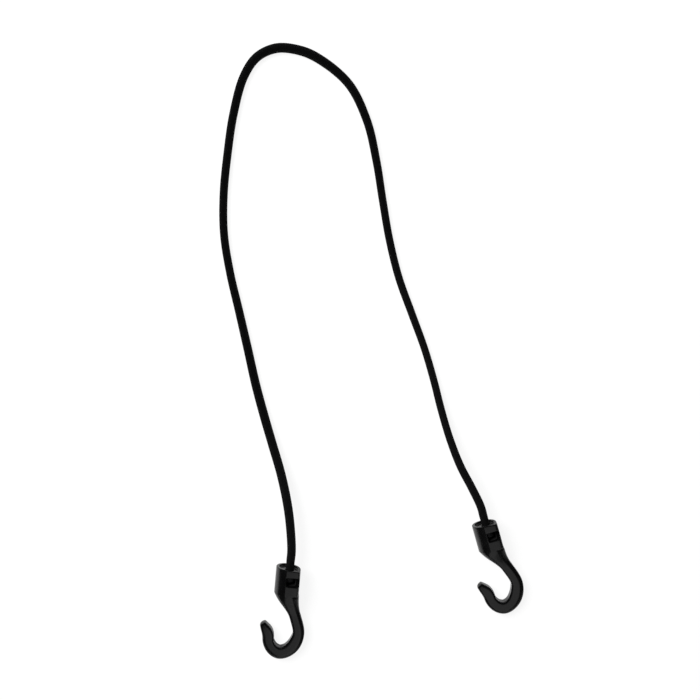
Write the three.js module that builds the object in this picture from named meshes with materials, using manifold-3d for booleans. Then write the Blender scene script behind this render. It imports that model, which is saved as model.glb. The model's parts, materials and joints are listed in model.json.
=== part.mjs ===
// Bungee cord: rubber strands in a braided sheath, with a moulded hook swivelling on each crimped end.
// Lengths are millimetres, +Z is up. The cord lies on the floor, z = 0, in an open loop towards +Y,
// and the origin is on the floor at the middle of the box around the two hooks.
import * as THREE from 'three';
import { mergeVertices } from 'three/addons/utils/BufferGeometryUtils.js';
import Module from 'manifold-3d';

// Elastic cord: a round braided sheath over a bundle of square-cut rubber strands
const CORD_DIAMETER = 7.2;
const SHEATH_WALL = 0.8;
const CORD_SIDES = 12;
const CORD_STEPS = 56;
const STRAND_RINGS = 2;
const STRAND_GAP = 0.36;
const BUNDLE_CLEARANCE = 0.09;

// Crimp band: a rolled steel strip closed on the cord's end, too wide to pull out of the hook
const BAND_WALL = 1.3;
const BAND_LENGTH = 7;
const BAND_SEAM = 0.6;
const BAND_CLEARANCE = 0.3;
const BAND_SEAT_GAP = 0.3;
const CORD_TAIL = 1.2;
const BAND_ARC_STEPS = 16;

// Hook body: a round barrel with a flat land on its front right quarter, a recessed mouth, a bore for
// the cord, a chamber for the band, and a window through the land into it
const BODY_DIAMETER = 23.2;
const BODY_LENGTH = 25.2;
const BODY_OFFSET = -1.2;
const LAND_SQUARENESS = 7;
const MOUTH_FILLET = 1.8;
const MOUTH_SLOPE = THREE.MathUtils.degToRad(6);
const MOUTH_RECESS_DIAMETER = 18.4;
const MOUTH_RECESS_DEPTH = 2.6;
const MOUTH_LIP = 5.8;
const BORE_FLARE = 0.8;
const BORE_CLEARANCE = 0.5;
const CHAMBER_CLEARANCE = 1.6;
const CHAMBER_END_GAP = 1.7;
const WINDOW_SHOULDER = 0.4;
const WINDOW_TURN = THREE.MathUtils.degToRad(30);
const ROUND_SIDES = 24;
const ROUND_STEPS = 3;

// Hook arm: the neck, shank, bend and tip, a flattened round section swept along one curve.
// x is across the hook from the bore's axis, and y runs down from the barrel's lower end.
const ARM_DEPTH = 10.6;
const ARM_SQUARENESS = 3;
const ROUND_SQUARENESS = 2;
const NECK_LAND_SQUARENESS = 1.6;
const SHANK_WIDTH = 10.8;
const BEND_WIDTH = 12.8;
const TIP_WIDTH = 10.4;
const TIP_END_WIDTH = 6.2;
const TIP_END_DEPTH = 7;
const NECK_POINTS = [[0.2, 3.5], [1.7, 7.2], [5.2, 14.5], [8.4, 20.8]];
const NECK_WIDTHS = [20.4, 17.6, 13, 10.8];
const NECK_DEPTHS = [21.4, 18.4, 13.4, 11];
const SHANK_POINTS = [[10.7, 27.2], [12.7, 33.5], [14, 40.2]];
const BEND_POINTS = [[12.7, 47.7], [9.5, 54], [3.9, 59.1], [-3.8, 61.5], [-10.5, 57.9]];
const TIP_POINTS = [[-14.1, 51.2], [-14.8, 45.8], [-16.2, 41.1], [-18.6, 37.2]];
const TIP_TAPER = [1, 1, 0.93, 0.77];
const TIP_END = [-21, 33.7];
const TIP_ROUNDING = 2;
const TIP_ROUNDING_SWEEP = THREE.MathUtils.degToRad(80);
const SECTION_SIDES = 20;
const RINGS_PER_STATION = 2;

// Where the two hooks lie: the middle of the mouth, and the turn of the bore's axis from +Y
const LEFT_MOUTH = [-98.4, 23.4];
const LEFT_TURN = THREE.MathUtils.degToRad(-5.3);
const RIGHT_MOUTH = [90, 67];
const RIGHT_TURN = THREE.MathUtils.degToRad(16);

// The cord's route from the left hook to the right one: x, y and the height of its underside
const STRAIGHT_RUN = [8, 18];
const ROUTE = [
  [-98, 66.5, 12.4], [-101, 89, 11.1], [-107, 116, 7.6], [-115, 143, 3.7], [-123, 170.5, 1.1],
  [-131, 201, 0], [-138.5, 236, 0], [-146.5, 272, 0], [-154.5, 307.5, 0], [-160, 344.5, 0],
  [-160, 382, 0], [-156, 420, 0], [-150, 457.5, 0], [-140, 492, 0], [-127.5, 510, 0],
  [-110, 518, 0], [-91.5, 517, 0], [-72.5, 510, 0], [-42, 485.5, 0], [-24.5, 451, 0],
  [-15.5, 413.5, 0], [-9.5, 376.5, 0], [-3, 339.5, 0], [6, 303.5, 0], [18.5, 269, 0],
  [31, 235, 0], [40, 204.5, 1.1], [47, 177, 3.7], [55, 150, 7.6], [65, 124, 11.1],
  [76, 103, 12.4],
];

const cordRadius = CORD_DIAMETER / 2;
const bodyRadius = BODY_DIAMETER / 2;
const sheathInnerRadius = cordRadius - SHEATH_WALL;
const bundleRadius = sheathInnerRadius * Math.cos(Math.PI / CORD_SIDES) - BUNDLE_CLEARANCE;
const strandWidth = (bundleRadius - STRAND_RINGS * STRAND_GAP) / (STRAND_RINGS + Math.SQRT1_2);
const strandPitch = strandWidth + STRAND_GAP;
const bandInnerRadius = cordRadius + BAND_CLEARANCE;
const bandTop = -(MOUTH_LIP + BAND_SEAT_GAP);
const cordEnd = bandTop - BAND_LENGTH - CORD_TAIL;
const chamberRadius = bandInnerRadius + BAND_WALL + CHAMBER_CLEARANCE;
const chamberLength = BAND_SEAT_GAP + BAND_LENGTH + CORD_TAIL + CHAMBER_END_GAP;

const plastic = new THREE.MeshStandardMaterial({ color: 0x1d1d1f, roughness: 0.45, metalness: 0 });
const steel = new THREE.MeshStandardMaterial({ color: 0x3a3b3d, roughness: 0.4, metalness: 0.9 });
const braid = new THREE.MeshStandardMaterial({ color: 0x0c0c0d, roughness: 0.95, metalness: 0 });
const rubber = new THREE.MeshStandardMaterial({ color: 0x2b2926, roughness: 0.8, metalness: 0 });

const wasm = await Module();
wasm.setup();

function solidOf(geometry) {
  const bare = geometry.clone();
  bare.deleteAttribute('normal');
  bare.deleteAttribute('uv');
  const merged = mergeVertices(bare);
  return new wasm.Manifold(new wasm.Mesh({
    numProp: 3,
    vertProperties: merged.getAttribute('position').array,
    triVerts: new Uint32Array(merged.index.array),
  }));
}

function geometryOf(solid) {
  const mesh = solid.getMesh();
  const geometry = new THREE.BufferGeometry();
  geometry.setAttribute('position', new THREE.BufferAttribute(mesh.vertProperties, 3));
  geometry.setIndex(new THREE.BufferAttribute(mesh.triVerts, 1));
  return geometry;
}

function arcAngles(sweep) {
  return Array.from({ length: ROUND_STEPS + 1 }, (_, i) => (i * sweep) / ROUND_STEPS);
}

// One closed section of the hook: a circle at the round squareness, flatter sided as it rises.
// The front right quarter, the land, has a squareness of its own.
// Half a step of turn puts a flat facet square to the front, back and sides.
function sectionRing({ centre, along, width, depth, squareness, landSquareness }) {
  const across = new THREE.Vector3(-along.y, along.x, 0);
  return Array.from({ length: SECTION_SIDES }, (_, k) => {
    const angle = ((k + 0.5) * 2 * Math.PI) / SECTION_SIDES;
    const power = ROUND_SQUARENESS / (angle < Math.PI / 2 ? landSquareness : squareness);
    const bulge = (value) => Math.sign(value) * Math.abs(value) ** power;
    return centre.clone()
      .addScaledVector(across, (width / 2) * bulge(Math.cos(angle)))
      .add(new THREE.Vector3(0, 0, (depth / 2) * bulge(Math.sin(angle))));
  });
}

function loft(rings) {
  const vertices = rings.flat();
  const triangles = [];
  const sides = SECTION_SIDES;
  for (let i = 0; i + 1 < rings.length; i += 1) {
    for (let k = 0; k < sides; k += 1) {
      const next = (k + 1) % sides;
      const [a, b] = [i * sides + k, i * sides + next];
      triangles.push(a, b, b + sides, a, b + sides, a + sides);
    }
  }
  const lastRing = (rings.length - 1) * sides;
  for (let k = 1; k + 1 < sides; k += 1) {
    triangles.push(0, k + 1, k);
    triangles.push(lastRing, lastRing + k, lastRing + k + 1);
  }
  const geometry = new THREE.BufferGeometry().setFromPoints(vertices);
  geometry.setIndex(triangles);
  return geometry;
}

function bodyRings() {
  const ringAt = (y, radius, slope) => sectionRing({
    centre: new THREE.Vector3(BODY_OFFSET, y, 0),
    along: new THREE.Vector3(-Math.sin(slope), -Math.cos(slope), 0),
    width: 2 * radius,
    depth: 2 * radius,
    squareness: ROUND_SQUARENESS,
    landSquareness: LAND_SQUARENESS,
  });
  const fillet = arcAngles(Math.PI / 2).map((angle) => ringAt(
    -MOUTH_FILLET * (1 - Math.cos(angle)),
    bodyRadius - MOUTH_FILLET * (1 - Math.sin(angle)),
    MOUTH_SLOPE,
  ));
  return [...fillet, ringAt(-BODY_LENGTH, bodyRadius, 0)];
}

function armRings() {
  const armSection = (width) => [width, ARM_DEPTH];
  const intoBend = (SHANK_WIDTH + BEND_WIDTH) / 2;
  const outOfBend = (BEND_WIDTH + TIP_WIDTH) / 2;
  const bendWidths = [intoBend, BEND_WIDTH, BEND_WIDTH, BEND_WIDTH, outOfBend];
  const stations = [
    { at: [BODY_OFFSET, 0], section: [BODY_DIAMETER, BODY_DIAMETER] },
    ...NECK_POINTS.map((at, i) => ({ at, section: [NECK_WIDTHS[i], NECK_DEPTHS[i]] })),
    ...SHANK_POINTS.map((at) => ({ at, section: armSection(SHANK_WIDTH) })),
    ...BEND_POINTS.map((at, i) => ({ at, section: armSection(bendWidths[i]) })),
    ...TIP_POINTS.map((at, i) => ({ at, section: armSection(TIP_WIDTH * TIP_TAPER[i]) })),
    { at: TIP_END, section: [TIP_END_WIDTH, TIP_END_DEPTH] },
  ];
  const centres = new THREE.CatmullRomCurve3(
    stations.map(({ at: [x, y] }) => new THREE.Vector3(x, -BODY_LENGTH - y, 0)),
  );
  const sections = new THREE.CatmullRomCurve3(stations.map(({ section }) => new THREE.Vector3(...section)));
  const { lerp } = THREE.MathUtils;
  const ringCount = (stations.length - 1) * RINGS_PER_STATION;
  const neckRings = NECK_POINTS.length * RINGS_PER_STATION;
  const down = new THREE.Vector3(0, -1, 0);
  const rings = [];
  for (let i = 1; i <= ringCount; i += 1) {
    const [width, depth] = sections.getPoint(i / ringCount).toArray();
    const centre = centres.getPoint(i / ringCount);
    const turned = Math.min(1, i / neckRings);
    const along = down.clone().lerp(centres.getTangent(i / ringCount), turned).normalize();
    const squareness = lerp(ROUND_SQUARENESS, ARM_SQUARENESS, turned);
    const landSquareness = lerp(NECK_LAND_SQUARENESS, ARM_SQUARENESS, turned);
    rings.push({ centre, along, width, depth, squareness, landSquareness });
  }
  const end = rings.at(-1);
  const rounding = arcAngles(TIP_ROUNDING_SWEEP).slice(1).map((angle) => ({
    ...end,
    centre: end.centre.clone().addScaledVector(end.along, TIP_ROUNDING * Math.sin(angle)),
    width: end.width * Math.cos(angle),
    depth: end.depth * Math.cos(angle),
  }));
  return [...rings, ...rounding].map(sectionRing);
}

// The hollow in the barrel: recess, flared bore, chamber for the band, and the window it is fitted through
function socketSolid() {
  const recessRadius = MOUTH_RECESS_DIAMETER / 2;
  const recess = new THREE.CylinderGeometry(recessRadius, recessRadius, 2 * MOUTH_RECESS_DEPTH, ROUND_SIDES);
  recess.rotateZ(-MOUTH_SLOPE);
  recess.translate(BODY_OFFSET, 0, 0);
  const boreRadius = cordRadius + BORE_CLEARANCE;
  const boreLength = MOUTH_LIP + chamberLength / 2;
  const bore = new THREE.CylinderGeometry(boreRadius, boreRadius, boreLength + MOUTH_LIP, ROUND_SIDES);
  bore.translate(0, (MOUTH_LIP - boreLength) / 2, 0);
  const flareRadius = boreRadius + 2 * BORE_FLARE;
  const flare = new THREE.CylinderGeometry(flareRadius, boreRadius, 2 * BORE_FLARE, ROUND_SIDES);
  flare.translate(0, -MOUTH_RECESS_DEPTH, 0);
  const chamberMiddle = -(MOUTH_LIP + chamberLength / 2);
  const chamber = new THREE.CylinderGeometry(chamberRadius, chamberRadius, chamberLength, ROUND_SIDES);
  chamber.translate(0, chamberMiddle, 0);
  const windowWidth = 2 * (chamberRadius - WINDOW_SHOULDER);
  const window = new THREE.BoxGeometry(windowWidth, chamberLength, BODY_DIAMETER);
  window.translate(0, chamberMiddle, bodyRadius);
  window.rotateY(WINDOW_TURN);
  const hollows = [recess, bore, flare, chamber, window];
  return hollows.map(solidOf).reduce((whole, hollow) => whole.add(hollow));
}

function hookGeometry() {
  const blank = solidOf(loft([...bodyRings(), ...armRings()]));
  return geometryOf(blank.subtract(socketSolid()));
}

// A C-shaped strip: the outer arc, then back along the inner one, open at the seam
function bandGeometry() {
  const middleRadius = bandInnerRadius + BAND_WALL / 2;
  const seamAngle = BAND_SEAM / 2 / middleRadius;
  const strip = new THREE.Shape();
  strip.absarc(0, 0, bandInnerRadius + BAND_WALL, seamAngle, 2 * Math.PI - seamAngle, false);
  strip.absarc(0, 0, bandInnerRadius, 2 * Math.PI - seamAngle, seamAngle, true);
  const options = { depth: BAND_LENGTH, bevelEnabled: false, curveSegments: BAND_ARC_STEPS };
  const geometry = new THREE.ExtrudeGeometry(strip, options);
  geometry.rotateX(-Math.PI / 2);
  geometry.translate(0, bandTop - BAND_LENGTH, 0);
  return geometry;
}

// The hook lies on two places: the lower end of its barrel and the back of its bend
function hookRest() {
  const facetAngle = Math.PI / SECTION_SIDES;
  const bodyFlat = bodyRadius * Math.cos(facetAngle);
  const armFlat = (ARM_DEPTH / 2) * Math.cos(facetAngle) ** (ROUND_SQUARENESS / ARM_SQUARENESS);
  const heelReach = (BEND_WIDTH / 2) * Math.sin(facetAngle) ** (ROUND_SQUARENESS / ARM_SQUARENESS);
  const heel = Math.max(...BEND_POINTS.map(([, y]) => y)) + heelReach;
  const pitch = Math.atan2(bodyFlat - armFlat, heel);
  return { pitch, height: bodyFlat * Math.cos(pitch) + BODY_LENGTH * Math.sin(pitch) };
}

function hookGroup(mouth, turn) {
  const { pitch, height } = hookRest();
  const group = new THREE.Group();
  group.position.set(...mouth, height);
  group.rotation.set(pitch, 0, turn, 'ZYX');
  group.updateMatrixWorld();
  return group;
}

function named(name, geometry, material) {
  const mesh = new THREE.Mesh(geometry, material);
  mesh.name = name;
  return mesh;
}

function polygon(radius, sides) {
  return Array.from({ length: sides }, (_, k) => {
    const angle = ((k + 0.5) * 2 * Math.PI) / sides;
    return new THREE.Vector2(radius * Math.cos(angle), radius * Math.sin(angle));
  });
}

function alongCord(path, outline, hole) {
  const shape = new THREE.Shape(outline);
  if (hole) shape.holes.push(new THREE.Path(hole));
  return new THREE.ExtrudeGeometry(shape, { steps: CORD_STEPS, extrudePath: path, bevelEnabled: false });
}

function cordPath(left, right) {
  const onAxis = (hook, y) => new THREE.Vector3(0, y, 0).applyMatrix4(hook.matrixWorld);
  const runs = [cordEnd, 0, ...STRAIGHT_RUN];
  return new THREE.CatmullRomCurve3([
    ...runs.map((y) => onAxis(left, y)),
    ...ROUTE.map(([x, y, underside]) => new THREE.Vector3(x, y, underside + cordRadius)),
    ...runs.toReversed().map((y) => onAxis(right, y)),
  ]);
}

// Strand places in the bundle: one in the middle and hexagonal rings around it
function strandPlaces() {
  const places = [];
  for (let row = -STRAND_RINGS; row <= STRAND_RINGS; row += 1) {
    const count = 2 * STRAND_RINGS + 1 - Math.abs(row);
    for (let k = 0; k < count; k += 1) {
      const x = (k - (count - 1) / 2) * strandPitch;
      places.push([x, row * strandPitch * Math.sin(Math.PI / 3)]);
    }
  }
  return places;
}

function strandOutline([x, y]) {
  const half = strandWidth / 2;
  const corners = [[-half, -half], [half, -half], [half, half], [-half, half]];
  return corners.map(([dx, dy]) => new THREE.Vector2(x + dx, y + dy));
}

const leftHook = hookGroup(LEFT_MOUTH, LEFT_TURN);
const rightHook = hookGroup(RIGHT_MOUTH, RIGHT_TURN);
const hookShape = hookGeometry();
const bandShape = bandGeometry();
leftHook.add(named('left_hook', hookShape, plastic), named('left_crimp_band', bandShape, steel));
rightHook.add(named('right_hook', hookShape, plastic), named('right_crimp_band', bandShape, steel));

const path = cordPath(leftHook, rightHook);
const cord = new THREE.Group();
const sheathInside = polygon(sheathInnerRadius, CORD_SIDES);
cord.add(named('braided_sheath', alongCord(path, polygon(cordRadius, CORD_SIDES), sheathInside), braid));
strandPlaces().forEach((place, i) => {
  const name = `rubber_strand_${String(i + 1).padStart(2, '0')}`;
  cord.add(named(name, alongCord(path, strandOutline(place)), rubber));
});

const bungee = new THREE.Group();
bungee.add(leftHook, rightHook, cord);

export default bungee;
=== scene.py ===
# %% [markdown]
# A bungee cord: a braided elastic cord with a moulded plastic hook swivelling on each end.
# The construction comes in as a fixed frame of solids, and this lesson dresses it: the braid, the mouldings,
# the crimped bands and their finishes. Everything is in metres in the frame, and shapes that are easier to
# think of in millimetres are worked out in millimetres and placed at the end.

# %% Load the frame
import json
import math

import bmesh
import bpy
from mathutils import Matrix, Vector


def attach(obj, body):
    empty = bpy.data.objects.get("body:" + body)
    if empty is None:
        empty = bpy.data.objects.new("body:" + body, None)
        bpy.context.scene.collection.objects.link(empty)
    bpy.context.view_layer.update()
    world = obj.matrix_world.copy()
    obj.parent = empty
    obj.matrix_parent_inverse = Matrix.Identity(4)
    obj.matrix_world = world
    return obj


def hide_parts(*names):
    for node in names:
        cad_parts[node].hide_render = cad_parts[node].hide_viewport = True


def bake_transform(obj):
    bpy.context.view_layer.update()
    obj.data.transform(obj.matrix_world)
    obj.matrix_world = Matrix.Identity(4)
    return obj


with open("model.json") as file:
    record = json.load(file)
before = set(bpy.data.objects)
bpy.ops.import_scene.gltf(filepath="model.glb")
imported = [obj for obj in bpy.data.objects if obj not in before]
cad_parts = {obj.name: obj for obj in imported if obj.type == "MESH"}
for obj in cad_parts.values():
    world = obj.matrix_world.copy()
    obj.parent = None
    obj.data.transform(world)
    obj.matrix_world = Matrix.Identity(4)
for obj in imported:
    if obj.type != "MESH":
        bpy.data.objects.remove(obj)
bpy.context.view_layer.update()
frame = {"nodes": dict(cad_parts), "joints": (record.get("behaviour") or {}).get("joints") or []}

MM = 0.001
nodes = frame["nodes"]
joints = {joint["name"]: joint for joint in frame["joints"]}
print("nodes:", len(nodes), "joints:", sorted(joints))

# %% [markdown]
# The camera comes first, because the cord is judged against its view. The picture was taken from above the
# middle of the loop, so the camera looks nearly straight down, tilted a little back towards the hooks, and
# sees them from the mouth's side. An Euler turn about X alone keeps the horizon level, and a long lens keeps
# the two hooks nearly the same size.

# %% Camera
CAMERA_PLACE = (-0.04045, 0.3741, 1.33664)
CAMERA_TILT = math.radians(-6)
CAMERA_LENS = 72
CAMERA_SENSOR = 36

scene = bpy.context.scene
lens = bpy.data.cameras.new("camera")
lens.lens = CAMERA_LENS
lens.sensor_width = CAMERA_SENSOR
camera = bpy.data.objects.new("camera", lens)
camera.location = CAMERA_PLACE
camera.rotation_euler = (CAMERA_TILT, 0, 0)
scene.collection.objects.link(camera)
scene.camera = camera
print("camera at", CAMERA_PLACE)

# %% [markdown]
# Each hook turns about the cord's end, so its swivel axis in the frame says where it lies: the axis runs out
# of the mouth, and a level line square to it runs across the hook. Those two give a placing matrix that
# carries a shape from the hook's own millimetres (x across, y out along the bore, z to the front) into the
# frame.

# %% Where the two hooks lie


def hook_placing(joint_name):
    """The matrix from a hook's own millimetres to the frame."""
    joint = joints[joint_name]
    out = Vector(joint["axis"]).normalized()
    across = Vector((out.y, -out.x, 0)).normalized()
    front = across.cross(out)
    turn = Matrix((across, out, front)).transposed().to_4x4()
    return Matrix.Translation(joint["pos_m"]) @ turn @ Matrix.Scale(MM, 4)


left_placing = hook_placing("left_hook_swivel")
right_placing = hook_placing("right_hook_swivel")
print("left mouth", left_placing.translation, "right mouth", right_placing.translation)

# %% [markdown]
# The cord lies in one open loop on the floor and climbs a little into each hook. Its route is a given
# list of points, the same ones that the solids follow, with a smooth curve through them. A centripetal
# Catmull-Rom curve is used because it passes through every point and never overshoots where points crowd
# together. The curve is then walked at an even step, so that the braid keeps one size all along.

# %% The cord's centreline
CORD_DIAMETER = 7.2
# places on a bore's axis, out from the mouth: the cord's end inside, and two points of its straight run
CORD_END = -14.3
STRAIGHT_RUN = [8, 18]
CURVE_STEPS = 40
# x, y and the height of the underside, in millimetres
ROUTE = [
    (-98, 66.5, 12.4), (-101, 89, 11.1), (-107, 116, 7.6), (-115, 143, 3.7), (-123, 170.5, 1.1),
    (-131, 201, 0), (-138.5, 236, 0), (-146.5, 272, 0), (-154.5, 307.5, 0), (-160, 344.5, 0),
    (-160, 382, 0), (-156, 420, 0), (-150, 457.5, 0), (-140, 492, 0), (-127.5, 510, 0),
    (-110, 518, 0), (-91.5, 517, 0), (-72.5, 510, 0), (-42, 485.5, 0), (-24.5, 451, 0),
    (-15.5, 413.5, 0), (-9.5, 376.5, 0), (-3, 339.5, 0), (6, 303.5, 0), (18.5, 269, 0),
    (31, 235, 0), (40, 204.5, 1.1), (47, 177, 3.7), (55, 150, 7.6), (65, 124, 11.1),
    (76, 103, 12.4),
]


def smooth_curve(points, steps):
    """Points on a centripetal Catmull-Rom curve, with that many steps between each two given points."""
    before = 2 * points[0] - points[1]
    after = 2 * points[-1] - points[-2]
    ends = [before, *points, after]
    line = []
    for p0, p1, p2, p3 in zip(ends, ends[1:], ends[2:], ends[3:]):
        d1 = math.sqrt((p2 - p1).length) or 1.0
        d0 = math.sqrt((p1 - p0).length) or d1
        d2 = math.sqrt((p3 - p2).length) or d1
        leave = d1 * ((p1 - p0) / d0 - (p2 - p0) / (d0 + d1) + (p2 - p1) / d1)
        arrive = d1 * ((p2 - p1) / d1 - (p3 - p1) / (d1 + d2) + (p3 - p2) / d2)
        for step in range(steps):
            t = step / steps
            square = 3 * (p2 - p1) - 2 * leave - arrive
            cube = 2 * (p1 - p2) + leave + arrive
            line.append(p1 + t * leave + t * t * square + t * t * t * cube)
    return line + [points[-1]]


def walk(line, count):
    """The line again, as that many even steps."""
    reached = [0.0]
    for a, b in zip(line, line[1:]):
        reached.append(reached[-1] + (b - a).length)
    even = []
    place = 0
    for step in range(count + 1):
        goal = reached[-1] * step / count
        while place < len(line) - 2 and reached[place + 1] < goal:
            place += 1
        share = (goal - reached[place]) / (reached[place + 1] - reached[place])
        even.append(line[place].lerp(line[place + 1], share))
    return even


runs = [CORD_END, 0, *STRAIGHT_RUN]
cord_points = [left_placing @ Vector((0, y, 0)) for y in runs]
cord_points += [Vector((x, y, under + CORD_DIAMETER / 2)) * MM for x, y, under in ROUTE]
cord_points += [right_placing @ Vector((0, y, 0)) for y in reversed(runs)]
centreline = smooth_curve(cord_points, CURVE_STEPS)
cord_length = sum((b - a).length for a, b in zip(centreline, centreline[1:]))
print(f"cord length {cord_length:.4f} m")

# %% [markdown]
# A cord can be drawn as a bevelled curve, which Blender sweeps without twisting. Here the sweep is made a
# mesh at once, because the braid needs its own bumps and because a mesh can stretch with the joint.
# The number of sides of such a sweep comes from its bevel resolution, and its vertices come ring by ring, so
# a vertex's number says where it is.

# %% Sweep a tube along a line


def swept_mesh(name, line, radius, sides):
    """A round tube along a line, as a mesh whose vertices come ring by ring."""
    curve = bpy.data.curves.new(name, "CURVE")
    curve.dimensions = "3D"
    curve.twist_mode = "MINIMUM"
    curve.bevel_depth = radius
    curve.bevel_resolution = sides // 2 - 2
    spline = curve.splines.new("POLY")
    spline.points.add(len(line) - 1)
    for point, place in zip(spline.points, line):
        point.co = (*place, 1)
    carrier = bpy.data.objects.new(name, curve)
    mesh = bpy.data.meshes.new_from_object(carrier)
    bpy.data.objects.remove(carrier)
    bpy.data.curves.remove(curve)
    return mesh


def new_object(name, mesh):
    """A linked object for a finished mesh, shaded smooth."""
    for polygon in mesh.polygons:
        polygon.use_smooth = True
    made = bpy.data.objects.new(name, mesh)
    scene.collection.objects.link(made)
    return made


print(f"the cord is {cord_length / (CORD_DIAMETER * MM):.0f} times as long as it is thick")

# %% [markdown]
# The sheath is a real sleeve of braid, which gets its relief here and an inner wall in the next step.
# The braid has sixteen yarns running each way. Measured in yarns, u goes round the cord and v along it, so
# one family lies on lines of u + v and the other on lines of u - v. Each yarn passes over two of the others
# and under two, and it stands highest along its own middle. A used cord is not quite even: it keeps a little
# of its last stretch, so it is thickest round the arch and slimmest along the right leg.

# %% The braided sheath
YARNS = 16
# yarns in one repeat of the weave, over two and under two
REPEAT = 4
POINTS_PER_YARN = 3
YARN_PITCH = 1.68
BRAID_RELIEF = 0.24
MEAN_HEIGHT = 0.4
# how much of a yarn's height comes and goes between the yarns that it dives under
BOW = 0.4
# share of the length and the thickness there
THICKNESS = [
    (0, 1.03), (0.0134, 1.06), (0.022, 1.15), (0.07, 1.19), (0.16, 1.2), (0.22, 1.14), (0.28, 1.06),
    (0.33, 1.05), (0.43, 1.1), (0.46, 1.13), (0.5, 1.25), (0.53, 1.25), (0.57, 1.15), (0.61, 1.08),
    (0.68, 1.01), (0.78, 1.0), (0.82, 0.97), (0.9, 1.0), (0.93, 1.05), (0.978, 1.1), (0.9866, 1.06),
    (1, 1.03),
]

sheath_sides = YARNS * POINTS_PER_YARN
sheath_steps = round(cord_length / (YARN_PITCH * MM) * POINTS_PER_YARN)


def braid_height(u, v):
    """How high the top yarn stands at a place on the braid, from 0 in a groove to 1 on a crest."""
    one, other = u + v, u - v
    over = REPEAT / 2
    first_on_top = (math.floor(one) + math.floor(other)) % REPEAT < over
    across = one if first_on_top else other
    along = (math.floor(one) + other if first_on_top else math.floor(other) + one - over) % REPEAT
    crest = math.sin(math.pi * (across % 1)) ** 2
    bow = math.sin(math.pi * min(1, along / over))
    return crest * (1 - BOW + BOW * bow)


def thickness(share):
    """How thick the cord is at a share of its length, against its plain diameter."""
    for (start, low), (end, high) in zip(THICKNESS, THICKNESS[1:]):
        if share <= end:
            return low + (high - low) * (share - start) / (end - start)


sheath_line = walk(centreline, sheath_steps)
sheath_mesh = swept_mesh("braided_cover", sheath_line, CORD_DIAMETER / 2 * MM, sheath_sides)
for vertex in sheath_mesh.vertices:
    ring, side = divmod(vertex.index, sheath_sides)
    u, v = (side + 0.5) / POINTS_PER_YARN, ring / POINTS_PER_YARN
    outward = (vertex.co - sheath_line[ring]).normalized()
    plain = CORD_DIAMETER / 2 * thickness(ring / sheath_steps)
    reach = plain + BRAID_RELIEF * (braid_height(u, v) - MEAN_HEIGHT)
    vertex.co = sheath_line[ring] + outward * (reach * MM)
    vertex.co.z = max(vertex.co.z, 0)
print("sheath rings", len(sheath_line), "vertices", len(sheath_mesh.vertices))

# %% [markdown]
# The finish has to follow the braid, so every corner of a face on the outside gets its u and v as a UV map.
# The last column of faces wraps round to the first points, and there u goes on past the full turn instead of
# jumping back. The inner wall is a plain tube, turned to face inwards, and bridge_loops closes both ends.

# %% Braid coordinates and the inner wall
SHEATH_WALL = 0.8
INNER_STEPS = 90


def close_sleeve(mesh, inner_mesh):
    """Joins an inner tube to an outer one at both ends and gives the outside its braid coordinates."""
    shell = bmesh.new()
    shell.from_mesh(mesh)
    braid = shell.loops.layers.uv.new("braid")
    for face in shell.faces:
        sides = [loop.vert.index % sheath_sides for loop in face.loops]
        wraps = max(sides) - min(sides) > 1
        for loop, side in zip(face.loops, sides):
            ring = loop.vert.index // sheath_sides
            turn = sheath_sides if wraps and side == 0 else 0
            loop[braid].uv = (side + turn + 0.5) / POINTS_PER_YARN, ring / POINTS_PER_YARN
    outer_count = len(shell.faces)
    shell.from_mesh(inner_mesh)
    shell.faces.ensure_lookup_table()
    bmesh.ops.reverse_faces(shell, faces=shell.faces[outer_count:])
    rims = [edge for edge in shell.edges if edge.is_boundary]
    middle = (sheath_line[0] + sheath_line[-1]) / 2
    for is_left in (True, False):
        rim = [edge for edge in rims if (edge.verts[0].co.x < middle.x) == is_left]
        bmesh.ops.bridge_loops(shell, edges=rim)
    shell.to_mesh(mesh)
    shell.free()


inner_line = walk(centreline, INNER_STEPS)
inner_radius = (CORD_DIAMETER / 2 - SHEATH_WALL) * MM
inner_mesh = swept_mesh("sleeve_inside", inner_line, inner_radius, sheath_sides)
close_sleeve(sheath_mesh, inner_mesh)
bpy.data.meshes.remove(inner_mesh)
sheath = new_object("braided_cover", sheath_mesh)
print("sheath faces", len(sheath_mesh.polygons))

# %% [markdown]
# Inside the sleeve run the rubber strands that do the stretching. They only show where the cord is cut, but
# they are there all the way, so that the cord is the same wherever someone cuts it open. Each is a thin
# square-cut thread: a curve with the coarsest bevel has four sides, which is that shape. The strand places
# follow a hexagon, and a frame carried along the centreline without twisting keeps them side by side.

# %% Rubber strands
STRAND_WIDTH = 0.7
STRAND_PITCH = 1.06
STRAND_RINGS = 2
STRAND_STEPS = 160


def carried_frames(line):
    """An untwisted pair of side directions at each point of a line."""
    ahead = [(b - a).normalized() for a, b in zip(line, line[1:])]
    ahead.append(ahead[-1])
    side = ahead[0].orthogonal().normalized()
    pairs = []
    for now, direction in zip([ahead[0], *ahead], ahead):
        side = now.rotation_difference(direction) @ side
        pairs.append((side, direction.cross(side)))
    return pairs


def strand_places():
    """Places in the bundle: one in the middle and hexagonal rings around it."""
    places = []
    for row in range(-STRAND_RINGS, STRAND_RINGS + 1):
        count = 2 * STRAND_RINGS + 1 - abs(row)
        for k in range(count):
            across = (k - (count - 1) / 2) * STRAND_PITCH
            places.append((across * MM, row * STRAND_PITCH * math.sin(math.pi / 3) * MM))
    return places


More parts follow.
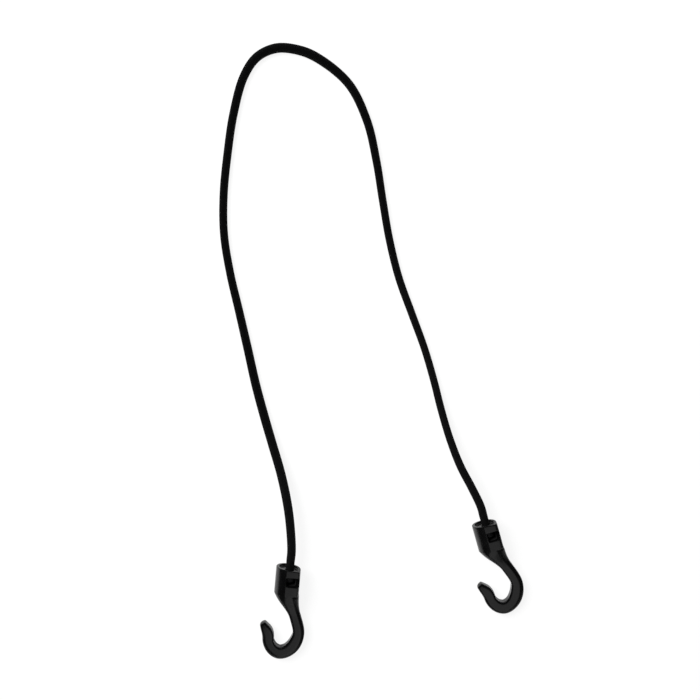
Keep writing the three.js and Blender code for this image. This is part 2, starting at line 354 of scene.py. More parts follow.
strand_line = walk(centreline, STRAND_STEPS)
strand_frames = carried_frames(strand_line)
strands = []
for number, (across, up) in enumerate(strand_places(), start=1):
    line = [p + across * a + up * b for p, (a, b) in zip(strand_line, strand_frames)]
    mesh = swept_mesh(f"rubber_thread_{number:02d}", line, STRAND_WIDTH * math.sqrt(0.5) * MM, 4)
    thread = bmesh.new()
    thread.from_mesh(mesh)
    bmesh.ops.holes_fill(thread, edges=[edge for edge in thread.edges if edge.is_boundary])
    bmesh.ops.recalc_face_normals(thread, faces=thread.faces)
    thread.to_mesh(mesh)
    thread.free()
    strand = bpy.data.objects.new(mesh.name, mesh)
    scene.collection.objects.link(strand)
    strands.append(strand)
print("strands", len(strands))

# %% [markdown]
# The hook is one moulding: a barrel with a recessed mouth, a bore for the cord, a chamber for the crimped
# band, a window into the chamber, and an arm that necks down, runs out as a shank, bends round and ends in a
# tapered tip. All of that is one ring of vertices extruded again and again, from the floor of the chamber out
# through the bore and the recess, over the rim, down the barrel and along the arm. That keeps the same
# columns all the way, so the window is cut by deleting matching faces inside and outside and bridging the
# two holes.
#
# A ring is a superellipse: a power of two makes it round, and a higher power squarer. The front right quarter
# is squared up to a flat land, which runs from the mouth down to the tip. On the neck and the arm a narrow
# chamfer cuts the land's outer corner, the side that faces into the bend is squared too, and only the back of
# the outer side stays round. Towards the tip the section evens out.

# %% Hook sections
SIDES = 32
BODY_RADIUS = 11.6
BODY_SPREAD = 0.8
BODY_LENGTH = 25.2
BODY_OFFSET = -1.4
ROUND = 2
LAND_SQUARENESS = 14
# the two columns that hold the land's corner, each with its angle in degrees
LAND_CORNER = {3: 42.5, 4: 47.5}
CHAMFERED_CORNER = {3: 34, 4: 47.5}
CHAMFER_SLOPE = math.tan(math.radians(29))
CHAMFER = 0.28
FRONT = Vector((0, 0, 1))


def section(centre, along, width, depth, squareness=ROUND, land=ROUND, corner=LAND_CORNER, chamfer=0.0):
    """One closed ring of the hook; the front right quarter, the land, has its own squareness and chamfer."""
    across = Vector((-along.y, along.x, 0))
    lean = CHAMFER_SLOPE * width / depth
    cut = 1 + lean * (1 - 2 * chamfer)
    ring = []
    for k in range(SIDES):
        angle = (k + 0.5) * math.tau / SIDES
        if land > ROUND and k in corner:
            angle = math.radians(corner[k])
        c, s = math.cos(angle), math.sin(angle)
        power = ROUND
        if c < 0:
            power = squareness
        elif s > 0:
            power = land
        reach = (abs(c) ** power + abs(s) ** power) ** (-1 / power)
        # the chamfer is the straight line lean * x + y = cut, in shares of the half width and half depth
        if c > 0 and s > 0:
            reach = min(reach, cut / (lean * c + s))
        ring.append(centre + across * (width / 2 * c * reach) + FRONT * (depth / 2 * s * reach))
    return ring


print("columns round a hook:", SIDES)

# %% [markdown]
# The socket comes first, from the inside out. The chamber, the bore and the recess are rings round the bore's
# axis, and two rings close together keep an edge crisp under the rounding that follows. The mouth is not cut
# quite square: it leans to one side, and stands higher at the front by half as much.

# %% Rings of the socket
CHAMBER_FLOOR = -16
CHAMBER_TOP = -5.8
CHAMBER_RADIUS = 6.8
BORE_RADIUS = 4.1
BORE_FLARE = 0.6
FLARE_DEPTH = 0.9
FLARE_STEP = 0.1
RECESS_FLOOR = -1.5
RECESS_RADIUS = 9.2
RECESS_SQUARENESS = 6
MOUTH_TOP = 0.9
MOUTH_SLOPE = math.radians(4)
EDGE = 0.4
WINDOW_ROWS = 4
# radius and height of the rings of the chamber's floor, of its roof and the bore, and of the recess
FLOOR_PROFILE = [(1.5, CHAMBER_FLOOR), (CHAMBER_RADIUS - EDGE, CHAMBER_FLOOR)]
BORE_PROFILE = [
    (CHAMBER_RADIUS - EDGE, CHAMBER_TOP), (BORE_RADIUS + EDGE, CHAMBER_TOP),
    (BORE_RADIUS, CHAMBER_TOP + EDGE), (BORE_RADIUS, RECESS_FLOOR - FLARE_DEPTH),
]
RECESS_PROFILE = [
    (5.6, RECESS_FLOOR), (RECESS_RADIUS - EDGE, RECESS_FLOOR), (RECESS_RADIUS, RECESS_FLOOR + EDGE),
    (RECESS_RADIUS, MOUTH_TOP - 0.5), (RECESS_RADIUS + 0.15, MOUTH_TOP - 0.15),
    (RECESS_RADIUS + 0.4, MOUTH_TOP),
]


def ring_at(x, y, radius, slope=0.0, land=ROUND, spread=0.0, **cut):
    """A ring square to the bore, or askew with the mouth by the slope."""
    along = Vector((-math.sin(slope), -math.cos(slope), 0))
    ring = section(Vector((x, y, 0)), along, 2 * radius + spread, 2 * radius, land=land, **cut)
    for place in ring:
        place.y += place.z * math.sin(slope / 2)
    return ring


def even_rows(start, end, count):
    """Heights from start to end in that many even steps."""
    return [start + (end - start) * k / count for k in range(count + 1)]


chamber_rows = even_rows(CHAMBER_FLOOR + EDGE, CHAMBER_TOP - EDGE, WINDOW_ROWS)
socket_rings = [ring_at(0, y, radius) for radius, y in FLOOR_PROFILE]
chamber_start = len(socket_rings)
socket_rings += [ring_at(0, y, CHAMBER_RADIUS) for y in chamber_rows]
socket_rings += [ring_at(0, y, radius) for radius, y in BORE_PROFILE]
socket_rings.append(ring_at(0, RECESS_FLOOR - FLARE_STEP, BORE_RADIUS + BORE_FLARE, MOUTH_SLOPE))
for radius, y in RECESS_PROFILE:
    socket_rings.append(ring_at(BODY_OFFSET, y, radius, MOUTH_SLOPE, RECESS_SQUARENESS))
print("socket rings", len(socket_rings))

# %% [markdown]
# The barrel's outside goes on from the rim: a small fillet, turned in steps of thirty degrees, then straight
# rings down to the neck. Beside the window they stand at the same heights as the chamber's rows. Its land is
# planed a hair below the round, which gives it a left edge, and one column is moved onto that edge.

# %% Rings of the barrel
MOUTH_FILLET = 0.9
# height of the ring that keeps half of the mouth's slope
HALF_SLOPE_HEIGHT = -4.2
# heights of the rings under the window, of which the last two keep the barrel's lower edge crisp
LOWER_BARREL = [-18, 1.6 - BODY_LENGTH, 0.3 - BODY_LENGTH]
LAND_HEIGHT = 0.995
LAND_EDGE = 9


def barrel_ring(y, radius=BODY_RADIUS, slope=0.0, **cut):
    """A ring round the barrel, which stands a little to one side of the bore, with the land planed on it."""
    ring = ring_at(BODY_OFFSET, y, radius, slope, LAND_SQUARENESS, BODY_SPREAD, **cut)
    top = radius * LAND_HEIGHT
    edge = ring[LAND_EDGE]
    edge.x = BODY_OFFSET - radius * math.sqrt(1 - LAND_HEIGHT ** 2)
    edge.z = top
    for place in ring:
        place.z = min(place.z, top)
    return ring


barrel_rings = []
for degrees in (0, 30, 60, 90):
    turn = math.radians(degrees)
    y = MOUTH_TOP - MOUTH_FILLET * (1 - math.cos(turn))
    radius = BODY_RADIUS - MOUTH_FILLET * (1 - math.sin(turn))
    barrel_rings.append(barrel_ring(y, radius, MOUTH_SLOPE))
barrel_rings.append(barrel_ring(HALF_SLOPE_HEIGHT, slope=MOUTH_SLOPE / 2))
window_start = len(barrel_rings)
barrel_rings += [barrel_ring(y) for y in [*reversed(chamber_rows), *LOWER_BARREL]]
barrel_rings.append(barrel_ring(-BODY_LENGTH, corner=CHAMFERED_CORNER, chamfer=CHAMFER))
print("barrel rings", len(barrel_rings))

# %% [markdown]
# The arm is a sweep: one curve through given stations carries the place, and another the width and the
# depth. Each ring stands square to the curve, apart from the neck, where the rings swing round little by
# little from the barrel's own direction, so that none of them cross.

# %% Rings of the arm
ARM_DEPTH = 10.6
RINGS_PER_STATION = 3
# x across from the bore's axis, y down from the barrel's lower end, then the width and depth there
ARM_STATIONS = [
    (BODY_OFFSET, 0, 24, 23.2), (0.35, 3.5, 21.5, 21.8), (2.15, 7.2, 18.4, 19.2), (5.5, 14.5, 13.3, 13.8),
    (8.2, 20.8, 11.1, 11), (10.6, 27.2, 11.1, ARM_DEPTH), (12.75, 33.5, 11.1, ARM_DEPTH),
    (13.95, 40.2, 11.3, ARM_DEPTH), (12.35, 47.75, 12.5, ARM_DEPTH), (9.3, 54.05, 12.9, ARM_DEPTH),
    (3.9, 59.55, 12.4, ARM_DEPTH), (-3.85, 62, 12.5, ARM_DEPTH), (-10.85, 58.2, 11.6, ARM_DEPTH),
    (-14.8, 51.2, 11, ARM_DEPTH), (-15.4, 45.8, 11.2, ARM_DEPTH), (-16.7, 41.1, 10.9, 10.5),
    (-19.1, 37.2, 9.1, 10.2), (-21.3, 33.7, 6.8, 9.4),
]
# how many stations the neck takes, the squaring of the inside after it, and the evening out at the tip
NECK_STATIONS = 4
SHANK_STATIONS = 2
TIP_STATIONS = 5
NECK_SQUARENESS = 5
INNER_SQUARENESS = 9
TIP_SQUARENESS = 4
TIP_ROUNDING = 2
TIP_SWEEP = math.radians(80)
TIP_RINGS = 3
DOWN = Vector((0, -1, 0))


def mixed(low, high, share):
    """A value on the way from low to high."""
    return low + (high - low) * share


def arm_rings():
    """The neck, shank, bend and tip, swept along one curve and rounded off at the end."""
    spine = smooth_curve([Vector((x, -BODY_LENGTH - y, 0)) for x, y, _, _ in ARM_STATIONS], RINGS_PER_STATION)
    sizes = smooth_curve([Vector((w, d, 0)) for _, _, w, d in ARM_STATIONS], RINGS_PER_STATION)
    rings = []
    for i in range(1, len(spine)):
        ahead = spine[min(i + 1, len(spine) - 1)] - spine[i - 1]
        turned = min(1, i / (NECK_STATIONS * RINGS_PER_STATION))
        along = DOWN.lerp(ahead.normalized(), turned).normalized()
        ending = min(1, (len(spine) - 1 - i) / (TIP_STATIONS * RINGS_PER_STATION))
        past_neck = min(1, max(0, i / RINGS_PER_STATION - NECK_STATIONS) / SHANK_STATIONS)
        inner = mixed(NECK_SQUARENESS, INNER_SQUARENESS, past_neck)
        squareness = mixed(TIP_SQUARENESS, mixed(ROUND, inner, turned), ending)
        land = mixed(TIP_SQUARENESS, LAND_SQUARENESS, ending)
        ring = section(spine[i], along, *sizes[i].xy, squareness, land, CHAMFERED_CORNER, CHAMFER * ending)
        rings.append(ring)
    for step in range(1, TIP_RINGS + 1):
        angle = TIP_SWEEP * step / TIP_RINGS
        width, depth = sizes[-1].x * math.cos(angle), sizes[-1].y * math.cos(angle)
        place = spine[-1] + along * (TIP_ROUNDING * math.sin(angle))
        rings.append(section(place, along, width, depth, TIP_SQUARENESS, TIP_SQUARENESS, CHAMFERED_CORNER))
    return rings


print("arm rings", len(arm_rings()))

# %% [markdown]
# With the rings worked out, the mesh follows: a capped circle is laid on the first ring, and each next ring
# is an extrusion of the last ring's edges. The operator hands back what it made in no useful order, so each
# new vertex is found as the neighbour of the old one that it came from.

# %% Extrude a ring


def extrude_ring(bm, loop, places):
    """Extrudes a closed loop of vertices once, onto new places."""
    edges = [bm.edges.get((a, b)) for a, b in zip(loop, loop[1:] + loop[:1])]
    made = bmesh.ops.extrude_edge_only(bm, edges=edges)["geom"]
    fresh = {item for item in made if isinstance(item, bmesh.types.BMVert)}
    follow = []
    for vertex, place in zip(loop, places):
        new = next(e.other_vert(vertex) for e in vertex.link_edges if e.other_vert(vertex) in fresh)
        new.co = place
        follow.append(new)
    return follow


print("rings to extrude", len(socket_rings) + len(barrel_rings) + len(arm_rings()))

# %% [markdown]
# Where the window goes, the faces are deleted inside and outside, and the two holes are bridged to give the
# window its walls. Its rim would melt away under a modifier alone, so it gets a small bevel of its own.

# %% The moulding with its window
WINDOW_COLUMNS = range(2, 8)
WINDOW_BEVEL = 0.35


def window_faces(bm, loops):
    """The faces between neighbouring loops that the window takes away."""
    faces = []
    for upper, lower in zip(loops, loops[1:]):
        for k in WINDOW_COLUMNS:
            faces.append(bm.faces.get((upper[k], upper[k + 1], lower[k + 1], lower[k])))
    return faces


def hook_mesh():
    """The whole moulding as one closed bmesh, in the hook's own millimetres."""
    bm = bmesh.new()
    rings = socket_rings + barrel_rings + arm_rings()
    circle = bmesh.ops.create_circle(bm, cap_ends=True, segments=SIDES, radius=1)["verts"]
    loops = [circle]
    for vertex, place in zip(circle, rings[0]):
        vertex.co = place
    for places in rings[1:]:
        loops.append(extrude_ring(bm, loops[-1], places))
    bmesh.ops.contextual_create(bm, geom=loops[-1])
    inner = loops[chamber_start:chamber_start + WINDOW_ROWS + 1]
    outer_start = len(socket_rings) + window_start
    outer = loops[outer_start:outer_start + WINDOW_ROWS + 1]
    rim_verts = {loop[k] for loop in outer for k in (*WINDOW_COLUMNS, WINDOW_COLUMNS.stop)}
    doomed = window_faces(bm, inner) + window_faces(bm, outer)
    bmesh.ops.delete(bm, geom=doomed, context="FACES")
    holes = [edge for edge in bm.edges if edge.is_boundary]
    rim = [edge for edge in holes if edge.verts[0] in rim_verts and edge.verts[1] in rim_verts]
    bmesh.ops.bridge_loops(bm, edges=holes)
    bmesh.ops.recalc_face_normals(bm, faces=bm.faces)
    bmesh.ops.bevel(bm, geom=rim, offset=WINDOW_BEVEL, offset_type="OFFSET", affect="EDGES", segments=2,
                    profile=0.5, material=-1)
    return bm


print("window columns", list(WINDOW_COLUMNS), "rows", WINDOW_ROWS)

# %% [markdown]
# A finished bmesh becomes an object where the hook lies. Moving the mesh itself, and not the object, keeps
# the object at the origin. A point attribute holds each vertex's place in the hook's own millimetres, so that
# both hooks carry the same finish, and a Subdivision Surface modifier rounds the moulding.

# %% The two hooks
ROUNDING_LEVELS = 2


def placed_object(bm, name, placing):
    """A piece of a hook's end where it lies, with its own coordinates kept for its finish."""
    mesh = bpy.data.meshes.new(name)
    bm.to_mesh(mesh)
    bm.free()
    own = mesh.attributes.new("hook_mm", "FLOAT_VECTOR", "POINT")
    own.data.foreach_set("vector", [value for vertex in mesh.vertices for value in vertex.co])
    mesh.transform(placing)
    return new_object(name, mesh)


def make_hook(name, placing):
    """One hook, rounded."""
    hook = placed_object(hook_mesh(), name, placing)
    rounding = hook.modifiers.new("rounding", "SUBSURF")
    rounding.levels = ROUNDING_LEVELS
    rounding.render_levels = ROUNDING_LEVELS
    print(name, "faces before rounding", len(hook.data.polygons))
    return hook


left_hook = make_hook("left_moulded_hook", left_placing)
right_hook = make_hook("right_moulded_hook", right_placing)

# %% [markdown]
# The band is a steel strip rolled round the end of the cord and squeezed shut, too wide to be pulled out
# through the bore. A rectangle spun nearly all the way round the bore's axis is exactly a rolled strip, with
# its seam left open. The jaws of the crimping tool leave a row of dents, which are pressed into the mesh by
# moving its outer vertices inwards, and a fine bevel takes the edge off.

# %% Crimped bands
BAND_INNER = 3.9
BAND_WALL = 1.3
BAND_TOP = -6.1
BAND_LENGTH = 7
BAND_SEAM = 0.6
BAND_STEPS = 96
BAND_CUTS = 11
BAND_BEVEL = 0.18
SHARP_ANGLE = math.radians(60)
DENTS = 6
DENT_DEPTH = 0.45
# round the band and along it
DENT_REACH = (0.9, 2.0)


def dent_depth(place):
    """How far the crimping jaws pressed the strip in at a place on its outside."""
    angle = math.atan2(place.z, place.x) * DENTS / math.tau
    round_way = (angle - math.floor(angle) - 0.5) * math.tau / DENTS * (BAND_INNER + BAND_WALL)
    along = place.y - (BAND_TOP - BAND_LENGTH / 2)
    return DENT_DEPTH * math.exp(-(round_way / DENT_REACH[0]) ** 2 - (along / DENT_REACH[1]) ** 2)


def make_band(name, placing):
    """One rolled strip on the cord's end, where it lies."""
    bm = bmesh.new()
    outer = BAND_INNER + BAND_WALL
    half_seam = BAND_SEAM / 2 / (BAND_INNER + BAND_WALL / 2)
    corners = [(BAND_INNER, BAND_TOP), (outer, BAND_TOP), (outer, BAND_TOP - BAND_LENGTH)]
    corners.append((BAND_INNER, BAND_TOP - BAND_LENGTH))
    profile = [bm.verts.new((radius, y, 0)) for radius, y in corners]
    edges = [bm.edges.new((a, b)) for a, b in zip(profile, profile[1:] + profile[:1])]
    bmesh.ops.subdivide_edges(bm, edges=[edges[1], edges[3]], cuts=BAND_CUTS)
    bmesh.ops.rotate(bm, verts=bm.verts, matrix=Matrix.Rotation(half_seam, 3, "Y"))
    whole = list(bm.verts) + list(bm.edges)
    bmesh.ops.spin(bm, geom=whole, cent=(0, 0, 0), axis=(0, 1, 0), dvec=(0, 0, 0),
                   angle=math.tau - 2 * half_seam, steps=BAND_STEPS, use_merge=False, use_duplicate=False)
    bmesh.ops.holes_fill(bm, edges=[edge for edge in bm.edges if edge.is_boundary])
    bmesh.ops.recalc_face_normals(bm, faces=bm.faces)
    sharp = [edge for edge in bm.edges if edge.calc_face_angle(0) > SHARP_ANGLE]
    bmesh.ops.bevel(bm, geom=sharp, offset=BAND_BEVEL, offset_type="OFFSET", affect="EDGES", segments=2,
                    profile=0.5, material=-1)
    for vertex in bm.verts:
        outward = Vector((vertex.co.x, 0, vertex.co.z))
        if outward.length > BAND_INNER + BAND_WALL / 2:
            vertex.co -= outward.normalized() * dent_depth(vertex.co)
    band = placed_object(bm, name, placing)
    print(name, "faces", len(band.data.polygons))
    return band


left_band = make_band("left_rolled_band", left_placing)
right_band = make_band("right_rolled_band", right_placing)

# %% [markdown]
# Finishes are written as sums. A small class wraps a shader socket, so that ordinary Python operators add
# Math nodes, and one method makes any other node. The nodes that the finishes repeat get short methods on top
# of it. What varies over a surface only ever feeds colour, roughness or bump; everything that is the same all
# over is set on the shader itself.

# %% Shader sums


class Signal:
    """A shader socket that takes part in sums."""

    def __init__(self, tree, socket=None):
        self.tree = tree
        self.socket = socket

    def node(self, kind, settings=None, inputs=None, output=0):
        """Adds a node: its settings are set first, then its sockets get values or links."""
        made = self.tree.nodes.new(kind)
        for name, value in (settings or {}).items():
            setattr(made, name, value)
        for key, value in (inputs or {}).items():
            if isinstance(value, Signal):
                self.tree.links.new(value.socket, made.inputs[key])
            else:
                made.inputs[key].default_value = value
        return Signal(self.tree, made.outputs[output])

    def maths(self, operation, *terms):
        """A Math node on the terms."""
        return self.node("ShaderNodeMath", {"operation": operation}, dict(enumerate(terms)))

    def __add__(self, other):
        return self.maths("ADD", self, other)

    def __sub__(self, other):
        return self.maths("SUBTRACT", self, other)

    def __rsub__(self, other):
        return self.maths("SUBTRACT", other, self)

    def __mul__(self, other):
        return self.maths("MULTIPLY", self, other)

    def __mod__(self, other):
        return self.maths("FLOORED_MODULO", self, other)

    def __lt__(self, other):
        return self.maths("LESS_THAN", self, other)

    __radd__ = __add__
    __rmul__ = __mul__

    def fade(self, start, end):
        """0 at start and beyond, 1 at end and beyond, smooth between."""
        inputs = {"Value": self, "From Min": start, "From Max": end}
        return self.node("ShaderNodeMapRange", {"interpolation_type": "SMOOTHSTEP"}, inputs)

    def part(self, axis):
        """One coordinate of a place."""
        return self.node("ShaderNodeSeparateXYZ", inputs={"Vector": self}, output=axis)

    def noise(self, scale, detail):
        """A noise texture, read at a place."""
        return self.node("ShaderNodeTexNoise", inputs={"Vector": self, "Scale": scale, "Detail": detail})

    def relief(self, strength):
        """A Bump node on a height in millimetres."""
        return self.node("ShaderNodeBump", inputs={"Height": self, "Distance": MM, "Strength": strength})

    def between(self, low, high):
        """Two colours mixed by this signal."""
        inputs = {"Factor": self, 6: (*low, 1), 7: (*high, 1)}
        return self.node("ShaderNodeMix", {"data_type": "RGBA"}, inputs, output=2)


print("sums ready:", [name for name in vars(Signal) if name[:1] != "_"])

# %% [markdown]
# Every finish starts and ends in the same way. It starts as a new material, whose Principled shader gets the
# values that are the same all over, and it ends with links from the sums to the shader's sockets. A socket's
# name has spaces, so it is written with underscores as a keyword.

# %% Start and feed a finish


def new_finish(name, **constants):
    """A material, the start of its sums, and its shader with the constant sockets set."""
    material = bpy.data.materials.new(name)
    material.use_nodes = True
    shader = material.node_tree.nodes["Principled BSDF"]
    for socket, value in constants.items():
        shader.inputs[socket.replace("_", " ")].default_value = value
    return material, Signal(material.node_tree), shader


def feed(shader, **signals):
    """Links signals to a shader's sockets."""
    for socket, signal in signals.items():
        signal.tree.links.new(signal.socket, shader.inputs[socket.replace("_", " ")])


print("materials so far", len(bpy.data.materials))

# %% [markdown]
# The hooks are black nylon with a fine satin grain from the mould. Under a soft light such plastic is nearly
# black, and nearly all that shows is its gloss, so the roughness does most of the work: it drifts slowly with
# the flow of the plastic and rises in faint scuffs. The grain is a shallow bump, and the line where the two
# halves of the mould met runs along both sides of the arm. The chamber behind the window is painted a little
# paler and made quite dull; the paler colour is painted light, which keeps the dark window readable.

# %% Moulded plastic
PLASTIC_BLACK = (0.0014, 0.0014, 0.0015)
# the pale end serves the plastic's scuffs and flow tone, and the painted light inside the chamber
PLASTIC_WORN_AND_LIT = (0.02, 0.02, 0.0205)
PLASTIC_ROUGHNESS = 0.2
# where each mark starts and is full, in its noise or, for the parting line, in millimetres from the middle
FLOW_TONE = (0.35, 0.7)
SCUFF_LINES = (0.62, 0.72)
SCUFF_AREAS = (0.45, 0.65)
PARTING_LINE = (0.22, 0.06)
# heights of the relief in millimetres
GRAIN_HEIGHT = 0.012
PARTING_HEIGHT = 0.05
SCUFF_DEPTH = 0.01
# the chamber painted paler as painted light: its radius, and the heights where the paling starts and is full
# at its two ends
CHAMBER_LIGHT_RADIUS = 7.14
CHAMBER_LIGHT_FLOOR = (-17, -16.4)
CHAMBER_LIGHT_ROOF = (-5, -6)


def plastic_finish():
    """Black satin plastic with flow marks, scuffs, a parting line and painted light in the chamber."""
    material, start, shader = new_finish("moulded_plastic", IOR=1.5)
    place = start.node("ShaderNodeAttribute", {"attribute_name": "hook_mm"}, output="Vector")
    flow = place.noise(scale=0.09, detail=3.0)
    grain = place.noise(scale=2.6, detail=2.0)
    stretched = start.node("ShaderNodeMapping", inputs={"Vector": place, "Scale": (0.25, 1.4, 0.5)})
    lines = stretched.noise(scale=1.1, detail=4.0)
    scuffs = lines.fade(*SCUFF_LINES) * flow.fade(*SCUFF_AREAS)
    across = place.part("X")
    along = place.part("Y")
    depth = place.part("Z")
    # painted light: inside the chamber the plastic is painted paler, and it is also made duller
    near_bore = across * across + depth * depth < CHAMBER_LIGHT_RADIUS ** 2
    paling = near_bore * along.fade(*CHAMBER_LIGHT_FLOOR) * along.fade(*CHAMBER_LIGHT_ROOF)
    parting = depth.maths("ABSOLUTE", depth).fade(*PARTING_LINE)
    height = grain * GRAIN_HEIGHT + parting * PARTING_HEIGHT - scuffs * SCUFF_DEPTH
    bump = height.relief(strength=0.7)
    # flow tone and scuffs are the plastic's own; the chamber's share is painted light
    wear_and_chamber_light = flow.fade(*FLOW_TONE) * 0.08 + scuffs * 0.08 + paling * 0.84
    colour = wear_and_chamber_light.between(PLASTIC_BLACK, PLASTIC_WORN_AND_LIT)
    roughness = PLASTIC_ROUGHNESS + flow * 0.08 + scuffs * 0.16 + paling * 0.4
    feed(shader, Base_Color=colour, Roughness=roughness, Normal=bump)
    return material


plastic = plastic_finish()
for hook in (left_hook, right_hook):
    hook.data.materials.append(plastic)
print("finish", plastic.name)

# %% [markdown]
# The sheath is a braid of soft textured yarns. Its own braid coordinates say which yarn is on top at each
# place and how far across that yarn the place is, so the shader can draw the yarn's rounded back and its fine
# filaments as bumps, with painted shade in the colour as well: each yarn is lighter on its crest and on its
# filaments' ridges, and darker in the grooves. The small differences from yarn to yarn are the yarns' own,
# all at the size of the modelled braid. The colour grows a little lighter towards both hooks.

# %% Braided yarn
YARN_BLACK = (0.001, 0.001, 0.0011)
YARN_LIGHTEST = (0.0095, 0.0095, 0.0098)
YARN_ROUGHNESS = 0.86
MID_CORD_TONE = 0.42
# heights of the relief in millimetres
YARN_HEIGHT = 0.16
FILAMENT_HEIGHT = 0.02
FILAMENTS = 6
# keeps the shades of one family of yarns apart from those of the other
OTHER_FAMILY = 31
# places along the cord, counted in yarns from its left end, where the lightening towards a hook starts and is
# full
LEFT_LIGHTENING = (130, 40)
RIGHT_LIGHTENING = (400, 560)
LEFT_LIGHTER = 0.9
RIGHT_LIGHTER = 1.1


def braid_finish():
    """Black textured yarns, each a tone of its own, with painted shade in their grooves, lighter towards both
    hooks.
    """
    material, start, shader = new_finish("braided_yarn", Specular_IOR_Level=0.12)
    uv = start.node("ShaderNodeUVMap", {"uv_map": "braid"})
    u = uv.part("X")
    v = uv.part("Y")
    one, other = u + v, u - v
    one_yarn, other_yarn = one.maths("FLOOR", one), other.maths("FLOOR", other)
    on_top = (one_yarn + other_yarn) % REPEAT < (REPEAT - 1) / 2
    across = on_top * (one % 1) + (1 - on_top) * (other % 1)
    crest = across.maths("SINE", across * math.pi)
    filaments = across.maths("SINE", across * (math.tau * FILAMENTS))
    yarn = on_top * (one_yarn % YARNS) + (1 - on_top) * (other_yarn % YARNS + OTHER_FAMILY)
    shade = start.node("ShaderNodeTexWhiteNoise", {"noise_dimensions": "1D"}, {"W": yarn})
    height = crest * YARN_HEIGHT + filaments * FILAMENT_HEIGHT
    bump = height.relief(strength=0.8)
    # the colour grows lighter towards both hooks
    lighter_ends = v.fade(*LEFT_LIGHTENING) * LEFT_LIGHTER + v.fade(*RIGHT_LIGHTENING) * RIGHT_LIGHTER
    # painted shade: the colour follows the relief, lighter on each yarn's crest and filament ridges, darker
    # in the grooves; the yarn-to-yarn tone is the yarns' own
    plain = crest * (0.55 + shade * 0.25) + filaments * 0.08
    tone = plain * (MID_CORD_TONE + lighter_ends * (1 - MID_CORD_TONE))
    colour = tone.between(YARN_BLACK, YARN_LIGHTEST)
    feed(shader, Base_Color=colour, Roughness=YARN_ROUGHNESS - crest * 0.12, Normal=bump)
    return material


yarn = braid_finish()
sheath.data.materials.append(yarn)
print("finish", yarn.name)

# %% [markdown]
# Inside, the strands are dark extruded rubber dusted with talc, and the bands are steel strip that has been
# blackened against rust. Both get quiet procedural finishes: the rubber a dusty, uneven tone, the steel fine
# rolling lines along the strip and brighter blotches where the blacking has rubbed off.

# %% Rubber and blackened steel
RUBBER_DARK = (0.012, 0.0115, 0.011)
RUBBER_DUSTED = (0.05, 0.048, 0.045)
STEEL_BLACKED = (0.06, 0.061, 0.063)
STEEL_RUBBED = (0.13, 0.131, 0.133)
# where each mark starts and is full in its noise, and the heights of the relief in millimetres
TALC = (0.4, 0.75)
RUBBING = (0.5, 0.72)
TALC_HEIGHT = 0.03
ROLLING_HEIGHT = 0.03


def rubber_finish():
    """Dull dark rubber under an uneven dusting of talc."""
    material, start, shader = new_finish("dusted_rubber", Specular_IOR_Level=0.3)
    place = start.node("ShaderNodeTexCoord", output="Object")
    paling = place.noise(scale=1400.0, detail=4.0)
    bump = (paling * TALC_HEIGHT).relief(strength=0.5)
    colour = paling.fade(*TALC).between(RUBBER_DARK, RUBBER_DUSTED)
    feed(shader, Base_Color=colour, Roughness=0.7 + paling * 0.2, Normal=bump)
    return material


def steel_finish():
    """Blackened strip with rolling lines, rubbed brighter in blotches."""
    material, start, shader = new_finish("blackened_steel", Metallic=0.9)
    place = start.node("ShaderNodeAttribute", {"attribute_name": "hook_mm"}, output="Vector")
    stretched = start.node("ShaderNodeMapping", inputs={"Vector": place, "Scale": (0.3, 6.0, 0.3)})
    lines = stretched.noise(scale=1.5, detail=5.0)
    blotch = place.noise(scale=0.5, detail=3.0)
    rubbed = blotch.fade(*RUBBING)
    bump = (lines * ROLLING_HEIGHT).relief(strength=0.5)
    colour = rubbed.between(STEEL_BLACKED, STEEL_RUBBED)
    feed(shader, Base_Color=colour, Roughness=0.5 + lines * 0.2, Normal=bump)
    return material


rubber = rubber_finish()
steel = steel_finish()
for strand in strands:
    strand.data.materials.append(rubber)
for band in (left_band, right_band):
    band.data.materials.append(steel)
print("finishes", rubber.name, steel.name)

# %% [markdown]
# The object lies on a plain white floor that curves up far away into a round backdrop, so that every view has
# the same background. Light Path lets it look different to different rays. To the camera it is dark grey with
# a strong glow, which adds up to white and still keeps a soft shadow in its own shading. To every other ray
# it is plain white, with only a little glow added in reflections, so that black plastic stays black.

# %% The floor
FLOOR_RINGS = [(4.0, 0.0), (4.6, 0.05), (5.1, 0.22), (5.5, 0.52), (5.75, 0.95)]
FLOOR_SIDES = 96
FLOOR_COLOUR = (0.85, 0.85, 0.85)
SEEN_FLOOR_COLOUR = (0.13, 0.13, 0.13)
SEEN_FLOOR_GLOW = 0.89
MIRRORED_FLOOR_GLOW = 0.1


def make_floor():
    """A wide round floor with an upturned edge."""
    bm = bmesh.new()
    flat_radius = FLOOR_RINGS[0][0]
    loop = bmesh.ops.create_circle(bm, cap_ends=True, segments=FLOOR_SIDES, radius=flat_radius)["verts"]
    for radius, height in FLOOR_RINGS[1:]:
        places = []
        for vertex in loop:
            flat = Vector((vertex.co.x, vertex.co.y, 0)).normalized()
            places.append(flat * radius + FRONT * height)
        loop = extrude_ring(bm, loop, places)
    bmesh.ops.recalc_face_normals(bm, faces=bm.faces)
    mesh = bpy.data.meshes.new("floor")
    bm.to_mesh(mesh)
    bm.free()
    return new_object("floor", mesh)


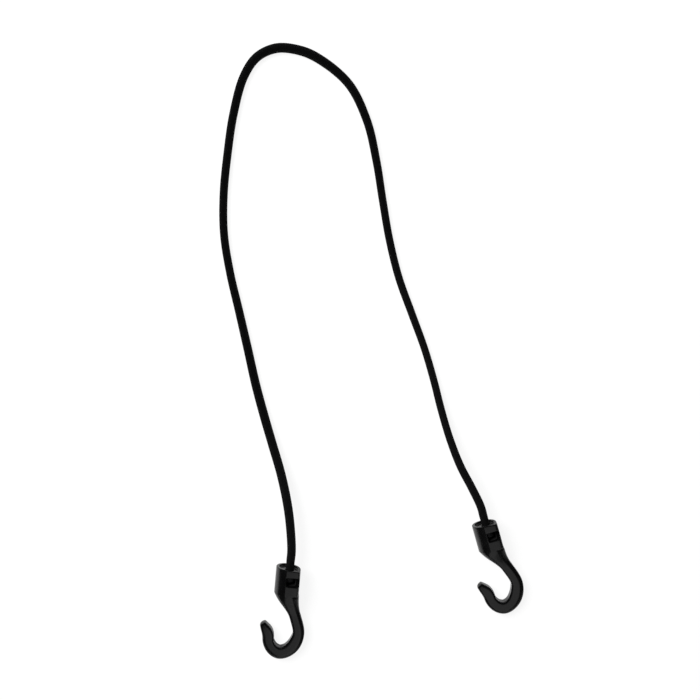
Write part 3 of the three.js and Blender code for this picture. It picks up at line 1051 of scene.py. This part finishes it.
def floor_finish():
    """White without gloss, with a glow for the camera and a dimmer one for reflections."""
    constants = {"Roughness": 1.0, "Specular_IOR_Level": 0.0, "Emission_Strength": 1.0}
    material, start, shader = new_finish("white_floor", **constants)
    seen = start.node("ShaderNodeLightPath", output="Is Camera Ray")
    mirrored = start.node("ShaderNodeLightPath", output="Is Glossy Ray")
    through = start.node("ShaderNodeLightPath", output="Is Transmission Ray")
    glow = seen * SEEN_FLOOR_GLOW + (mirrored + through) * MIRRORED_FLOOR_GLOW
    feed(shader, Base_Color=seen.between(FLOOR_COLOUR, SEEN_FLOOR_COLOUR), Emission_Color=glow)
    return material


floor = make_floor()
floor.data.materials.append(floor_finish())
print("floor faces", len(floor.data.polygons))

# %% [markdown]
# Two lamps do the work. A broad one, high on the left beyond the arch, lights everything evenly and is kept
# out of reflections, because a bright square in every rounded edge would show what the light is made of. A
# dim panel in front of the hooks is what the glossy plastic mirrors. The world is white to the camera, past
# the edge of the floor, and almost black to everything else.

# %% Light
WORLD_GREY = (0.03, 0.03, 0.03)
WORLD_WHITE = (1, 1, 1)


def soft_lamp(name, size, power, place, target, in_reflections):
    """A rectangular area lamp aimed at a point and never seen by the camera itself."""
    lamp = bpy.data.lights.new(name, "AREA")
    lamp.shape = "RECTANGLE"
    lamp.size, lamp.size_y = size
    lamp.energy = power
    holder = bpy.data.objects.new(name, lamp)
    holder.location = place
    holder.rotation_euler = (Vector(target) - Vector(place)).to_track_quat("-Z", "Y").to_euler()
    holder.visible_camera = False
    holder.visible_glossy = in_reflections
    scene.collection.objects.link(holder)


soft_lamp("overhead", size=(1.8, 1.8), power=130, place=(-1.5, 1.5, 2.2), target=(0, 0.2, 0),
          in_reflections=False)
soft_lamp("panel", size=(1.8, 2.9), power=9.1, place=(0.35, -1.85, 1.95), target=(0.35, -0.45, 0.52),
          in_reflections=True)
world = bpy.data.worlds.new("studio")
world.use_nodes = True
to_camera = Signal(world.node_tree).node("ShaderNodeLightPath", output="Is Camera Ray")
sky = to_camera.between(WORLD_GREY, WORLD_WHITE)
world.node_tree.links.new(sky.socket, world.node_tree.nodes["Background"].inputs["Color"])
scene.world = world
scene.view_settings.view_transform = "Standard"
print("lamps", sorted(lamp.name for lamp in bpy.data.lights))

# %% [markdown]
# Last, the pieces are tied to the frame. Hooks and bands ride on their bodies. The cord stretches; its sheath
# and strands have their placing baked into their meshes, and the frame's own cord pieces are hidden.

# %% Tie the hooks and bands to the frame
# a piece, its body, the node that it replaces and its slot
RIDING = [
    (left_hook, "left_hook", "left_hook", "hook_plastic"),
    (right_hook, "right_hook", "right_hook", "hook_plastic"),
    (left_band, "cord", "left_crimp_band", "band_steel"),
    (right_band, "right_end", "right_crimp_band", "band_steel"),
]
for piece, body, node, slot in RIDING:
    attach(piece, body)
    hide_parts(node)
    print(piece.name, "rides on", body)

# %% Bake the cord and hide the frame's cord
# steps of an even walk along the cord's centreline
PATH_STEPS = 800

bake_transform(sheath)
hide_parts("braided_sheath")
for number, strand in enumerate(strands, start=1):
    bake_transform(strand)
    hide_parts(f"rubber_strand_{number:02d}")
walk(centreline, PATH_STEPS)
print("stretching", sheath.name, "and", len(strands), "strands")
